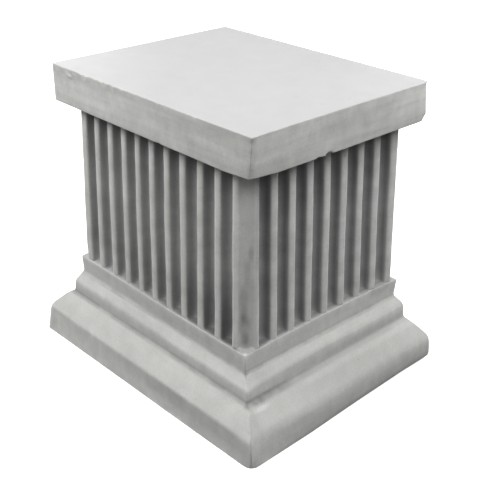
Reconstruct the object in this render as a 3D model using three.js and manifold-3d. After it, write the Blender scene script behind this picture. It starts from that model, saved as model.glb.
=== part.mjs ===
// A garden pedestal cast in concrete as one piece: stepped base, fluted shaft, flat slab on top.
// Millimetres, +Z up. The origin is on the floor under the middle, and +X runs along the faces with more flutes.
import * as THREE from "three";
import Module from "manifold-3d";

const TOTAL_HEIGHT = 400;

// Slab on top: crisp edges, and one lower corner broken off.
const SLAB_LENGTH = 370;
const SLAB_DEPTH = 298;
const SLAB_THICKNESS = 48;
const SLAB_EDGE_RADIUS = 2;
const SLAB_CORNER_RADIUS = 3;
const BROKEN_CORNER = 9;

// Shaft: upright flutes between narrow ribs, measured halfway up. It narrows a little toward the slab.
const FLUTES_ALONG_LENGTH = 10;
const FLUTES_ALONG_DEPTH = 8;
const FLUTE_PITCH = 30;
const FLUTE_WIDTH = 20;
const FLUTE_DEPTH = 12;
const RIB_EDGE_RADIUS = 2;
const CORNER_POST = 22.5;
const POST_CHAMFER = 16.5;
const SHAFT_SPREAD = 4.5;

// Base: each level gives its length, its depth and its height above the floor.
const PLINTH_FOOT = { length: 431, depth: 345, height: 0 };
const PLINTH_SHOULDER = { length: 427, depth: 342, height: 30 };
const STEP_FOOT = { length: 361.5, depth: 293, height: 67.5 };
const STEP_SHOULDER = { length: 359, depth: 290.5, height: 82.5 };
const BAND_FOOT = { length: 338, depth: 276, height: 98.5 };
const BAND_TOP = { length: 341, depth: 281, height: 122 };
const PLINTH_EDGE_RADIUS = 4;
const STEP_EDGE_RADIUS = 7;
const BAND_EDGE_RADIUS = 1.5;
const PLINTH_CORNER_RADIUS = 5;
const BAND_CORNER_RADIUS = 3;

// The wide slope over the plinth bulges: it leaves the step gently and turns into the plinth's upright face.
const SLOPE_TOP_PULL = { share: 0.35, height: 61.5 };
const SLOPE_FOOT_PULL = { share: 1, height: 44 };

// How finely the round forms are cut.
const CORNER_STEPS = 4;
const EDGE_STEPS = 3;
const SLOPE_STEPS = 9;
const FLUTE_STEPS = 10;
const RIB_EDGE_STEPS = 2;
// How far the shaft runs into the slab and the base, so that they join as one body.
const ROOT = 12;

const SLAB_UNDERSIDE = TOTAL_HEIGHT - SLAB_THICKNESS;
const LEDGE = BAND_TOP.height;

const wasm = await Module();
wasm.setup();

// One ring of a loft: a rectangle with rounded corners, counterclockwise seen from above.
function roundedRectangle(halfLength, halfDepth, height, radius) {
  const ring = [];
  for (let corner = 0; corner < 4; corner++) {
    const alongX = corner === 1 || corner === 2 ? -1 : 1;
    const alongY = corner === 2 || corner === 3 ? -1 : 1;
    for (let step = 0; step <= CORNER_STEPS; step++) {
      const turn = ((corner + step / CORNER_STEPS) * Math.PI) / 2;
      ring.push(
        new THREE.Vector3(
          alongX * (halfLength - radius) + radius * Math.cos(turn),
          alongY * (halfDepth - radius) + radius * Math.sin(turn),
          height,
        ),
      );
    }
  }
  return ring;
}

// A closed body through rings of equal count, from the lowest ring to the highest, with flat ends.
function loft(rings) {
  const count = rings[0].length;
  const positions = rings.flat().flatMap((point) => point.toArray());
  const triangles = [];
  for (let level = 0; level + 1 < rings.length; level++) {
    for (let i = 0; i < count; i++) {
      const low = level * count + i;
      const lowNext = level * count + ((i + 1) % count);
      triangles.push(low, lowNext, lowNext + count);
      triangles.push(low, lowNext + count, low + count);
    }
  }
  const outline = rings[0].map((point) => new THREE.Vector2(point.x, point.y));
  const last = (rings.length - 1) * count;
  for (const [a, b, c] of THREE.ShapeUtils.triangulateShape(outline, [])) {
    triangles.push(c, b, a);
    triangles.push(last + a, last + b, last + c);
  }
  const geometry = new THREE.BufferGeometry();
  geometry.setAttribute("position", new THREE.Float32BufferAttribute(positions, 3));
  geometry.setIndex(triangles);
  return geometry;
}

function solid(geometry) {
  return new wasm.Manifold(
    new wasm.Mesh({
      numProp: 3,
      vertProperties: new Float32Array(geometry.getAttribute("position").array),
      triVerts: new Uint32Array(geometry.getIndex().array),
    }),
  );
}

// A level of the base as one point: half its length, half its depth, its height.
function levelPoint(level) {
  return new THREE.Vector3(level.length / 2, level.depth / 2, level.height);
}

// The edge at a corner of a profile, rounded off by the given distance along both of its sides.
function roundedEdge(before, corner, after, distance) {
  const start = corner.clone().add(before.clone().sub(corner).setLength(distance));
  const end = corner.clone().add(after.clone().sub(corner).setLength(distance));
  return new THREE.QuadraticBezierCurve3(start, corner, end).getPoints(EDGE_STEPS);
}

// The base, from the floor to the ledge that the flutes stand on.
function makeBase() {
  const foot = levelPoint(PLINTH_FOOT);
  const shoulder = levelPoint(PLINTH_SHOULDER);
  const stepFoot = levelPoint(STEP_FOOT);
  const stepShoulder = levelPoint(STEP_SHOULDER);
  const bandFoot = levelPoint(BAND_FOOT);
  const bandTop = levelPoint(BAND_TOP);
  const inward = new THREE.Vector3(ROOT, ROOT, 0);
  const slope = new THREE.CubicBezierCurve3(
    shoulder,
    stepFoot.clone().lerp(shoulder, SLOPE_FOOT_PULL.share).setZ(SLOPE_FOOT_PULL.height),
    stepFoot.clone().lerp(shoulder, SLOPE_TOP_PULL.share).setZ(SLOPE_TOP_PULL.height),
    stepFoot,
  );
  const profile = [
    ...roundedEdge(foot.clone().sub(inward), foot, shoulder, PLINTH_EDGE_RADIUS),
    ...slope.getPoints(SLOPE_STEPS),
    ...roundedEdge(stepFoot, stepShoulder, bandFoot, STEP_EDGE_RADIUS),
    bandFoot,
    ...roundedEdge(bandFoot, bandTop, bandTop.clone().sub(inward), BAND_EDGE_RADIUS),
  ];
  const cornerRadius = (height) =>
    THREE.MathUtils.mapLinear(height, 0, LEDGE, PLINTH_CORNER_RADIUS, BAND_CORNER_RADIUS);
  return solid(loft(profile.map((p) => roundedRectangle(p.x, p.y, p.z, cornerRadius(p.z)))));
}

// One face of the fluted section, from corner to corner, as points [run, depth into the shaft].
function flutedFace(flutes) {
  const half = halfFace(flutes);
  const points = [[POST_CHAMFER - half, 0]];
  const bowl = FLUTE_WIDTH / 2;
  const straight = FLUTE_DEPTH - bowl;
  for (let flute = 0; flute < flutes; flute++) {
    const middle = (flute - (flutes - 1) / 2) * FLUTE_PITCH;
    const section = [];
    for (let step = 0; step <= RIB_EDGE_STEPS; step++) {
      const turn = ((step / RIB_EDGE_STEPS) * Math.PI) / 2;
      section.push([
        -bowl - RIB_EDGE_RADIUS * (1 - Math.sin(turn)),
        RIB_EDGE_RADIUS * (1 - Math.cos(turn)),
      ]);
    }
    for (let step = 1; step < FLUTE_STEPS / 2; step++) {
      const turn = (step / FLUTE_STEPS) * Math.PI;
      section.push([-bowl * Math.cos(turn), straight + bowl * Math.sin(turn)]);
    }
    for (const [run, depth] of section) points.push([middle + run, depth]);
    points.push([middle, FLUTE_DEPTH]);
    for (const [run, depth] of section.reverse()) points.push([middle - run, depth]);
  }
  points.push([half - POST_CHAMFER, 0]);
  return points;
}

function halfFace(flutes) {
  return (flutes * FLUTE_PITCH - (FLUTE_PITCH - FLUTE_WIDTH)) / 2 + CORNER_POST;
}

// The shaft: the fluted section halfway up, spread at the foot and drawn in under the slab.
function makeShaft() {
  const halfLength = halfFace(FLUTES_ALONG_LENGTH);
  const halfDepth = halfFace(FLUTES_ALONG_DEPTH);
  const longFace = flutedFace(FLUTES_ALONG_LENGTH);
  const shortFace = flutedFace(FLUTES_ALONG_DEPTH);
  const section = [
    ...longFace.map(([run, depth]) => [run, depth - halfDepth]),
    ...shortFace.map(([run, depth]) => [halfLength - depth, run]),
    ...longFace.map(([run, depth]) => [-run, halfDepth - depth]),
    ...shortFace.map(([run, depth]) => [depth - halfLength, -run]),
  ];
  const middleHeight = (LEDGE + SLAB_UNDERSIDE) / 2;
  const ringAt = (height) => {
    const out = (SHAFT_SPREAD * (middleHeight - height)) / (SLAB_UNDERSIDE - LEDGE);
    const scaleX = 1 + out / halfLength;
    const scaleY = 1 + out / halfDepth;
    return section.map(([x, y]) => new THREE.Vector3(x * scaleX, y * scaleY, height));
  };
  return solid(loft([ringAt(LEDGE - ROOT), ringAt(SLAB_UNDERSIDE + ROOT)]));
}

// The slab, with the lower corner toward +X and +Y broken off along a slanting face.
function makeSlab() {
  const lower = new THREE.Vector3(SLAB_LENGTH / 2, SLAB_DEPTH / 2, SLAB_UNDERSIDE);
  const upper = lower.clone().setZ(TOTAL_HEIGHT);
  const inward = new THREE.Vector3(ROOT, ROOT, 0);
  const profile = [
    ...roundedEdge(lower.clone().sub(inward), lower, upper, SLAB_EDGE_RADIUS),
    ...roundedEdge(lower, upper, upper.clone().sub(inward), SLAB_EDGE_RADIUS),
  ];
  const slab = solid(loft(profile.map((p) => roundedRectangle(p.x, p.y, p.z, SLAB_CORNER_RADIUS))));
  const kept = new THREE.Vector3(-1, -1, 1).normalize();
  const cut = lower.clone().add(new THREE.Vector3(0, 0, BROKEN_CORNER));
  return slab.trimByPlane(kept.toArray(), kept.dot(cut));
}

const body = makeBase().add(makeShaft()).add(makeSlab());
const mesh = body.getMesh();
const geometry = new THREE.BufferGeometry();
geometry.setAttribute("position", new THREE.BufferAttribute(new Float32Array(mesh.vertProperties), 3));
geometry.setIndex(new THREE.BufferAttribute(new Uint32Array(mesh.triVerts), 1));
geometry.computeVertexNormals();

const concrete = new THREE.MeshStandardMaterial({ color: 0xb5b5b2, roughness: 0.95, flatShading: true });
const pedestal = new THREE.Mesh(geometry, concrete);
pedestal.name = "pedestal";

const part = new THREE.Group();
part.name = "fluted_pedestal";
part.add(pedestal);
export default part;
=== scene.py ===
# A low garden pedestal of pale grey concrete: a flat slab, a fluted shaft with cut corners and a stepped,
# sloping base. Metres, +Z up, in the frame of the solids. +X runs along the faces with ten flutes, and the
# photograph looks at the -Y and +X faces.
import math

import bpy
import numpy as np
from mathutils import Matrix, Vector, noise


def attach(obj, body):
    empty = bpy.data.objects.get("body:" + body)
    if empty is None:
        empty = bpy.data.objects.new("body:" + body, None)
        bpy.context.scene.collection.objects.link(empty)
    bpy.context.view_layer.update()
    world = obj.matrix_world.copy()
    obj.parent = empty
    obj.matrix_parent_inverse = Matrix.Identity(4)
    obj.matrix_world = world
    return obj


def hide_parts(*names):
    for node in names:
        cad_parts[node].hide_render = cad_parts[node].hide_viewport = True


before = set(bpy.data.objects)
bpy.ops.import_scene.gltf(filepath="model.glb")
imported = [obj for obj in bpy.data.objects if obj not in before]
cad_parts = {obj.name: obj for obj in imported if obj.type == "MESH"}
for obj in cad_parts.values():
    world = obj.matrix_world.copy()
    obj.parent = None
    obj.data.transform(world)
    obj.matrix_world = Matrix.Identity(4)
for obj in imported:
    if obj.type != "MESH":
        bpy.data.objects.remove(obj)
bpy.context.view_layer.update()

# The pedestal is one casting: concrete poured upside down into a mould with loose side plates, so it has
# upright corners with mould seams, a smooth top from the mould's floor, and ribs that are a little uneven.
# It stands outdoors, so the flutes and the inner corners hold dirt, and the edges are worn and chipped.
# Painted shade darkens the flutes and the inner corners further.

# Sizes are in millimetres, and halves are measured from the middle.
MM = 0.001

SLAB_HALF = np.array([185.0, 149.0])
SLAB_UNDERSIDE = 350.6
TOTAL_HEIGHT = 400.0
SLAB_EDGE = 0.9
SLAB_CORNER = 1.4

FLUTES_ALONG_LENGTH = 10
FLUTES_ALONG_DEPTH = 8
FLUTE_PITCH = 30.0
FLUTE_WIDTH = 20.0
FLUTE_DEPTH = 12.0
RIB_EDGE = 3.0
# The edges that face the front corner are worn rounder, and those of the short faces by this much more.
RIB_WORN_EDGE = 4.2
RIB_WORN_EDGE_ON_SHORT = 2.2
POST_CHAMFER = 16.5
POST_FILL = 3.0
SHAFT_HALF = np.array([167.5, 137.5])
SHAFT_SPREAD = 4.5
# How much wider than the pitch leaves them the ribs are, and those of the short faces besides.
RIB_EXTRA = 1.4
RIB_EXTRA_ON_SHORT = 0.6
RIB_DRIFT = 5.0
RIB_LEAN = 3.0
RIB_SWAY = 1.2
SWAY_SCALE = 16.0
SWAY_STRETCH = 0.6
# How the ribs of the two shown faces stand off their even places, as (place along the face, shift), each
# from -1 to 1.
LONG_FACE_DRIFT = (
    (-0.87, 0.95), (-0.63, 0.28), (-0.36, 0.12), (0.0, -0.62), (0.3, -0.8), (0.54, -0.5), (0.87, -0.18),
)
SHORT_FACE_DRIFT = (
    (-0.84, -0.3), (-0.44, -0.56), (-0.04, -0.9), (0.44, -0.86), (0.62, -0.8), (0.84, -0.4),
)

# Each level of the base is half its length, half its depth and its height.
LEDGE = 124.5
PLINTH_FOOT = np.array([215.2, 172.3, 0.0])
PLINTH_SHOULDER = np.array([213.2, 170.8, 37.5])
STEP_FOOT = np.array([181.6, 147.3, 66.5])
STEP_SHOULDER = np.array([181.0, 146.7, 83.5])
BAND_FOOT = np.array([169.0, 138.0, 99.0])
BAND_TOP = np.array([170.5, 140.5, LEDGE])
PLINTH_EDGE = 1.0
STEP_EDGE = 4.5
STEP_FILLET = 4.0
BAND_FILLET = 3.5
BAND_EDGE = 2.2
PLINTH_CORNER = 2.5
SLOPE_CORNER = 0.6
STEP_CORNER = 1.0
BAND_CORNER = 0.8
# The heights between which the plinth's corner radius changes to the slope's.
CORNER_CHANGE = (34.0, 44.0)
# The plinth's shoulder is worn round on the short sides and crisp on the long ones. Its slope has a bend,
# given as the share of the way out from the step and the height there. Short sides first, then long ones.
SHOULDER_EASE = (11.0, 3.5)
SLOPE_BEND = ((0.27, 63.5), (0.5, 53.6))
BEND_EASE = 6.0

# Low waves from the mould's plates, and a finer unevenness.
WAVE_HEIGHT = 0.9
GRAIN_HEIGHT = 0.28
SEED = 7.0

# Spans of the mesh round the outline: each half corner, each flat beside it, each flute and each rib.
CORNER_SPANS = 6
POST_SPANS = 2
FLUTE_SPANS = 12
RIB_SPANS = 3
PITCH_SPANS = FLUTE_SPANS + RIB_SPANS
# The round floor of a flute takes this many on either side of its middle.
BOWL_SPANS = FLUTE_SPANS / 3


def side_spans(flutes):
    return 2 * (CORNER_SPANS + POST_SPANS) + flutes * PITCH_SPANS - RIB_SPANS


LONG_SPANS = side_spans(FLUTES_ALONG_LENGTH)
SHORT_SPANS = side_spans(FLUTES_ALONG_DEPTH)
HALF_RING = LONG_SPANS + SHORT_SPANS
RING = 2 * HALF_RING


def eased_edge(before, corner, after, distance, steps):
    """The corner of a profile, rounded off by this distance along both of its sides."""
    start = corner + (before - corner) * distance / np.linalg.norm(before - corner)
    end = corner + (after - corner) * distance / np.linalg.norm(after - corner)
    shares = np.linspace(0, 1, steps + 1)
    return [(1 - t) ** 2 * start + 2 * t * (1 - t) * corner + t * t * end for t in shares]


def straight(start, end, steps):
    """The points between two ends, without the ends."""
    return [start + (end - start) * t for t in np.linspace(0, 1, steps + 1)[1:-1]]


# The upright profile, from under the plinth to the rim of the top. Each level is half the length, half the
# depth and the height, then the radius of its corners, how far it is the fluted section, and how much of
# their depth the flutes have there.
levels = []


def add_levels(level_points, corner_radius, fluted=0.0, flute_share=1.0):
    for level_point in level_points:
        levels.append((*level_point, corner_radius, fluted, flute_share))


# The way in from an edge, under the plinth and the slab and over the ledge and the top.
EDGE_ROOT = 12.0
inward = np.array([EDGE_ROOT, EDGE_ROOT, 0.0])
plinth_edge = eased_edge(PLINTH_FOOT - inward, PLINTH_FOOT, PLINTH_SHOULDER, PLINTH_EDGE, steps=5)


def plinth_outline(axis):
    """Half the plinth's width along this axis and the height, from the foot's edge up to the step."""
    share, bend_height = SLOPE_BEND[axis]
    bend = STEP_FOOT + (PLINTH_SHOULDER - STEP_FOOT) * share
    bend[2] = bend_height
    shoulder = eased_edge(PLINTH_FOOT, PLINTH_SHOULDER, bend, SHOULDER_EASE[axis], steps=8)
    step = eased_edge(bend, STEP_FOOT, STEP_SHOULDER, STEP_FILLET, steps=5)
    bent = eased_edge(shoulder[-1], bend, step[0], BEND_EASE, steps=4)
    outline = np.array([plinth_edge[-1]] + shoulder + bent + step)
    return outline[:, axis], outline[:, 2]


plinth_sides = [plinth_outline(axis) for axis in (0, 1)]
# Rings of the mesh over the plinth, as (lowest, highest, count), closest where it turns.
FACE_RINGS = (plinth_edge[-1][2], 25.0, 5)
SHOULDER_RINGS = (27.0, 44.0, 13)
SLOPE_RINGS = (46.0, 58.0, 6)
STEP_RINGS = (60.0, STEP_FOOT[2] + STEP_FILLET, 12)
plinth_heights = [np.linspace(*FACE_RINGS)[1:]]
plinth_heights += [np.linspace(*rings) for rings in (SHOULDER_RINGS, SLOPE_RINGS, STEP_RINGS)]
step_edge = eased_edge(STEP_FOOT, STEP_SHOULDER, BAND_FOOT, STEP_EDGE, steps=6)
band_fillet = eased_edge(STEP_SHOULDER, BAND_FOOT, BAND_TOP, BAND_FILLET, steps=4)
band_edge = eased_edge(BAND_FOOT, BAND_TOP, BAND_TOP - inward, BAND_EDGE, steps=3)

add_levels([PLINTH_FOOT - inward], PLINTH_CORNER)
add_levels(plinth_edge, PLINTH_CORNER)
for ring_height in np.concatenate(plinth_heights):
    half_sizes = [np.interp(ring_height, side_heights, widths) for widths, side_heights in plinth_sides]
    ring_corner = np.interp(ring_height, CORNER_CHANGE, (PLINTH_CORNER, SLOPE_CORNER))
    add_levels([np.array([*half_sizes, ring_height])], ring_corner)
add_levels(step_edge + straight(step_edge[-1], band_fillet[0], steps=4), STEP_CORNER)
add_levels(band_fillet + straight(band_fillet[-1], band_edge[0], steps=5) + band_edge, BAND_CORNER)

# The flutes' floors rise a little to a soft inner corner, given as the share of the way in from the ledge's
# rim to the shaft, the rise, and the share of the flutes' depth.
shaft_foot = np.array([*(SHAFT_HALF + SHAFT_SPREAD / 2), LEDGE])
shaft_top = np.array([*(SHAFT_HALF - SHAFT_SPREAD / 2), SLAB_UNDERSIDE])
FLUTE_FLOOR = (
    (0.25, 0.1, 0.9), (0.55, 0.4, 0.85), (0.85, 1.0, 0.8),
    (1.0, 2.2, 0.8), (1.0, 5.0, 0.87), (1.0, 9.5, 0.95),
)
FLUTE_FLOOR_END = 16.0
for way_in, floor_rise, depth_share in FLUTE_FLOOR:
    floor_point = band_edge[-1] + (shaft_foot - band_edge[-1]) * way_in
    add_levels([floor_point + np.array([0, 0, floor_rise])], BAND_CORNER, way_in, depth_share)
shaft_start = shaft_foot + np.array([0, 0, FLUTE_FLOOR_END])
shaft_rings = [shaft_start] + straight(shaft_start, shaft_top, steps=22) + [shaft_top]
add_levels(shaft_rings, BAND_CORNER, fluted=1.0)

# The underside of the slab, its side and the rim of its top.
slab_lower = np.array([*SLAB_HALF, SLAB_UNDERSIDE])
slab_upper = np.array([*SLAB_HALF, TOTAL_HEIGHT])
lower_edge = eased_edge(slab_lower - inward, slab_lower, slab_upper, SLAB_EDGE, steps=3)
upper_edge = eased_edge(slab_lower, slab_upper, slab_upper - inward, SLAB_EDGE, steps=3)
UNDERSIDE_RINGS = (0.75, 0.5, 0.25)
for way_in in UNDERSIDE_RINGS:
    add_levels([lower_edge[0] + (shaft_top - lower_edge[0]) * way_in], SLAB_CORNER, way_in)
add_levels(lower_edge + straight(lower_edge[-1], upper_edge[0], steps=22) + upper_edge, SLAB_CORNER)

profile = bpy.data.meshes.new("pedestal_profile")
level_table = np.array(levels)
profile.from_pydata(level_table[:, :3] * MM, [(i, i + 1) for i in range(len(levels) - 1)], [])
for table_column, name, unit in ((3, "corner_radius", MM), (4, "fluted", 1), (5, "flute_share", 1)):
    values = level_table[:, table_column] * unit
    profile.attributes.new(name, "FLOAT", "POINT").data.foreach_set("value", values)

# The tree that turns the profile round the outline.
cast = bpy.data.node_groups.new("cast_pedestal", "GeometryNodeTree")


def add_node(tree, kind, inputs=(), **settings):
    made = tree.nodes.new(kind)
    for name, value in settings.items():
        setattr(made, name, value)
    for name, value in dict(inputs).items():
        feed(tree, value, made.inputs[name])
    return made


def feed(tree, value, socket):
    if isinstance(value, Field):
        tree.links.new(value.socket, socket)
    elif isinstance(value, bpy.types.NodeSocket):
        tree.links.new(value, socket)
    else:
        socket.default_value = value


class Field:
    """One output in a node tree. Arithmetic on it adds math nodes to that tree."""

    def __init__(self, tree, socket):
        self.tree = tree
        self.socket = socket

    def calc(self, operation, *others):
        inputs = dict(enumerate((self, *others)))
        made = add_node(self.tree, "ShaderNodeMath", inputs, operation=operation)
        return Field(self.tree, made.outputs[0])

    def __add__(self, other):
        return self.calc("ADD", other)

    def __sub__(self, other):
        return self.calc("SUBTRACT", other)

    def __rsub__(self, other):
        return self.calc("MULTIPLY_ADD", -1.0, other)

    def __mul__(self, other):
        return self.calc("MULTIPLY", other)

    def __truediv__(self, other):
        return self.calc("DIVIDE", other)

    __radd__ = __add__
    __rmul__ = __mul__

    def clip(self, low, high):
        return self.calc("MAXIMUM", low).calc("MINIMUM", high)

    def mix(self, other, share):
        """This field where share is 0, the other where it is 1."""
        return self + (other - self) * share


SIZES = {
    "Flutes Along Length": FLUTES_ALONG_LENGTH,
    "Flutes Along Depth": FLUTES_ALONG_DEPTH,
    "Flute Pitch": FLUTE_PITCH * MM,
    "Flute Width": FLUTE_WIDTH * MM,
    "Flute Depth": FLUTE_DEPTH * MM,
    "Rib Edge": RIB_EDGE * MM,
    "Rib Worn Edge": RIB_WORN_EDGE * MM,
    "Rib Worn Edge On Short": RIB_WORN_EDGE_ON_SHORT * MM,
    "Rib Extra": RIB_EXTRA * MM,
    "Rib Extra On Short": RIB_EXTRA_ON_SHORT * MM,
    "Rib Drift": RIB_DRIFT * MM,
    "Rib Lean": RIB_LEAN * MM,
    "Rib Sway": RIB_SWAY * MM,
    "Post Chamfer": POST_CHAMFER * MM,
    "Post Fill": POST_FILL * MM,
    "Section Half Length": SHAFT_HALF[0] * MM,
    "Section Half Depth": SHAFT_HALF[1] * MM,
    "Wave Height": WAVE_HEIGHT * MM,
    "Grain Height": GRAIN_HEIGHT * MM,
    "Seed": SEED,
}
cast.interface.new_socket("Profile", in_out="INPUT", socket_type="NodeSocketGeometry")
size_keys = {}
for name, value in SIZES.items():
    kind = "NodeSocketInt" if isinstance(value, int) else "NodeSocketFloat"
    size_keys[name] = cast.interface.new_socket(name, in_out="INPUT", socket_type=kind).identifier
cast.interface.new_socket("Concrete", in_out="INPUT", socket_type="NodeSocketMaterial")
cast.interface.new_socket("Geometry", in_out="OUTPUT", socket_type="NodeSocketGeometry")
given = cast.nodes.new("NodeGroupInput")
size = {name: Field(cast, given.outputs[name]) for name in SIZES}


def field(kind, inputs=(), output=0, **settings):
    return Field(cast, add_node(cast, kind, inputs, **settings).outputs[output])


def level_value(name, level_index):
    """A value of the profile at the level with this index."""
    value = field("GeometryNodeInputNamedAttribute", {"Name": name}, data_type="FLOAT")
    inputs = {"Geometry": given.outputs["Profile"], "Value": value, "Index": level_index}
    return field("GeometryNodeSampleIndex", inputs, data_type="FLOAT", domain="POINT")


def point_of(mesh, point_index):
    inputs = {"Geometry": mesh, "Value": field("GeometryNodeInputPosition"), "Index": point_index}
    return field("GeometryNodeSampleIndex", inputs, data_type="FLOAT_VECTOR", domain="POINT")


def split(vector):
    made = add_node(cast, "ShaderNodeSeparateXYZ", {0: vector})
    return [Field(cast, socket) for socket in made.outputs]


# Added before rounding down, so that an exact quotient isn't taken for the number below.
ROUNDING_NUDGE = 0.0005


def whole_part(value):
    return (value + ROUNDING_NUDGE).calc("FLOOR")


level_count = field("GeometryNodeAttributeDomainSize", {0: given.outputs["Profile"]}, component="MESH")
sheet = field("GeometryNodeMeshGrid", {"Vertices X": RING + 1, "Vertices Y": level_count})
index = field("GeometryNodeInputIndex")
sheet_column = whole_part(index / level_count)
level = index - sheet_column * level_count
around = sheet_column - RING * whole_part(sheet_column / RING)

# The outline repeats after half a turn: one long side, then one short side.
second_half = around.calc("GREATER_THAN", HALF_RING - 0.5)
along_half = around - second_half * HALF_RING
on_short = along_half.calc("GREATER_THAN", LONG_SPANS - 0.5)
spans = LONG_SPANS + on_short * (SHORT_SPANS - LONG_SPANS)
flutes = size["Flutes Along Length"].mix(size["Flutes Along Depth"], on_short)
own_section = size["Section Half Length"].mix(size["Section Half Depth"], on_short)
other_section = size["Section Half Depth"].mix(size["Section Half Length"], on_short)
half_length, half_depth, height = split(point_of(given.outputs["Profile"], level))
own_half = half_length.mix(half_depth, on_short)
other_half = half_depth.mix(half_length, on_short)
corner_radius = level_value("corner_radius", level)
fluted = level_value("fluted", level)
flute_share = level_value("flute_share", level)

# Where the point lies along its side, counted in spans from the middle and then measured on the section.
from_middle = along_half - on_short * LONG_SPANS - spans * 0.5
toward = from_middle.calc("SIGN")
span_length = size["Flute Pitch"] / PITCH_SPANS
past_post = (from_middle.calc("ABSOLUTE") - spans * 0.5 + CORNER_SPANS).calc("MAXIMUM", 0.0)
even_run = (from_middle.calc("ABSOLUTE") - past_post) * span_length

# The plain ring: straight sides, and an arc over the outer half of each corner's spans.
arc_turn = ((past_post / CORNER_SPANS * 2 - 1).calc("MAXIMUM", 0.0)) * (math.pi / 4)
to_arc = (past_post / CORNER_SPANS * 2).calc("MINIMUM", 1.0)
scaled_run = even_run * own_half / own_section
plain_run = scaled_run.mix(own_half - corner_radius, to_arc) + corner_radius * arc_turn.calc("SINE")
plain_depth = corner_radius * (1 - arc_turn.calc("COSINE"))

# The fluted ring: round-bottomed flutes with eased ribs between them, then the cut corner.
cell_place = (from_middle + spans * 0.5 - (CORNER_SPANS + POST_SPANS)) / PITCH_SPANS
cell = whole_part(cell_place).calc("MAXIMUM", 0.0).calc("MINIMUM", flutes - 1)
flute_middle = (cell - (flutes - 1) * 0.5) * size["Flute Pitch"]
off_flute_middle = (cell_place - cell) * PITCH_SPANS - FLUTE_SPANS / 2
flute_side = off_flute_middle.calc("SIGN")
flute_way = off_flute_middle.calc("ABSOLUTE")
bowl_turn = (flute_way / BOWL_SPANS).calc("MINIMUM", 1.0) * (math.pi / 2)
edge_way = (flute_way - BOWL_SPANS) / (FLUTE_SPANS / 2 - BOWL_SPANS)
edge_turn = edge_way.clip(0.0, 1.0) * (math.pi / 2)
flute_width = size["Flute Width"] - size["Rib Extra"] - size["Rib Extra On Short"] * on_short
bowl_radius = flute_width * 0.5
worn_edge = size["Rib Worn Edge"] + size["Rib Worn Edge On Short"] * on_short
worn_side = (flute_side * (on_short * 2 - 1)).calc("GREATER_THAN", 0.0)
rib_edge = size["Rib Edge"].mix(worn_edge, worn_side)
rib_span = (size["Flute Pitch"] - flute_width - size["Rib Edge"] - worn_edge) / RIB_SPANS
bowl_run = bowl_radius * bowl_turn.calc("SINE") + rib_edge * (1 - edge_turn.calc("COSINE"))
beyond = (flute_way - FLUTE_SPANS / 2).calc("MAXIMUM", 0.0) * rib_span
# The far right post of the photograph is cut off less than the others.
right_end = on_short * from_middle.calc("GREATER_THAN", 0.0) * (1 - second_half)
back_start = (1 - on_short) * from_middle.calc("LESS_THAN", 0.0) * second_half
chamfer = size["Post Chamfer"] - size["Post Fill"] * (right_end + back_start)
post_start = own_section - chamfer
flute_run = (flute_middle + flute_side * (bowl_run + beyond)).clip(post_start * -1.0, post_start)
bowl_depth = bowl_radius * bowl_turn.calc("COSINE")
wall_depth = (size["Flute Depth"] - bowl_radius) * (1 - edge_turn.calc("SINE"))
on_corner = past_post.calc("GREATER_THAN", 0.0)
chamfer_way = past_post / CORNER_SPANS * chamfer * 0.5
corner_run = toward * (post_start + chamfer_way)
section_run = flute_run.mix(corner_run, on_corner)


# The rib strips were set in the mould by eye: they sway a little, and those of the two shown faces are off
# their places.
def drift_along(wanted):
    curve = add_node(cast, "ShaderNodeFloatCurve", {"Value": (section_run / own_section + 1) * 0.5})
    stops = curve.mapping.curves[0].points
    for stop, (along, shift) in zip((stops[0], stops[-1]), (wanted[0], wanted[-1])):
        stop.location = ((along + 1) / 2, (shift + 1) / 2)
    for along, shift in wanted[1:-1]:
        stops.new((along + 1) / 2, (shift + 1) / 2)
    curve.mapping.update()
    return (Field(cast, curve.outputs[0]) * 2 - 1) * size["Rib Drift"]


shaft_middle = (LEDGE + SLAB_UNDERSIDE) / 2 * MM
shaft_height = (SLAB_UNDERSIDE - LEDGE) * MM
rib_lean = on_short * size["Rib Lean"] * ((shaft_middle - height) / shaft_height)
off_place = drift_along(LONG_FACE_DRIFT).mix(drift_along(SHORT_FACE_DRIFT), on_short)
shown_drift = (off_place + rib_lean) * (1 - second_half)
sway_axes = {0: section_run, 1: height * SWAY_STRETCH, 2: on_short + second_half * 2}
sway_place = field("ShaderNodeCombineXYZ", sway_axes)
sway_noise = field("ShaderNodeTexNoise", {"Vector": sway_place, "Scale": SWAY_SCALE, "Detail": 1.0})
sway = (sway_noise - 0.5) * 2 * size["Rib Sway"]
on_leg = (from_middle.calc("ABSOLUTE") - spans * 0.5 + (CORNER_SPANS + POST_SPANS)) / POST_SPANS
drift = (shown_drift + sway) * (1 - on_leg.clip(0.0, 1.0))
full_depth = ((bowl_depth + wall_depth) * (1 - on_corner)).mix(chamfer_way, on_corner)
recess = (full_depth / size["Flute Depth"] * (1 - on_corner)) * fluted
section_depth = full_depth * (flute_share + (1 - flute_share) * on_corner)
ring_run = (section_run + drift) * own_half / own_section
ring_depth = section_depth * other_half / other_section

run = (toward * plain_run).mix(ring_run, fluted)
depth = other_half - plain_depth.mix(ring_depth, fluted)
half_turn = 1 - second_half * 2
point_x = run.mix(depth, on_short) * half_turn
point_y = (depth * -1.0).mix(run, on_short) * half_turn
wall_point = field("ShaderNodeCombineXYZ", {0: point_x, 1: point_y, 2: height})
bare_wall = field("GeometryNodeSetPosition", {"Geometry": sheet, "Position": wall_point})
stored = {"Geometry": bare_wall, "Name": "recess", "Value": recess}
wall = field("GeometryNodeStoreNamedAttribute", stored, data_type="FLOAT", domain="POINT")

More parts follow.
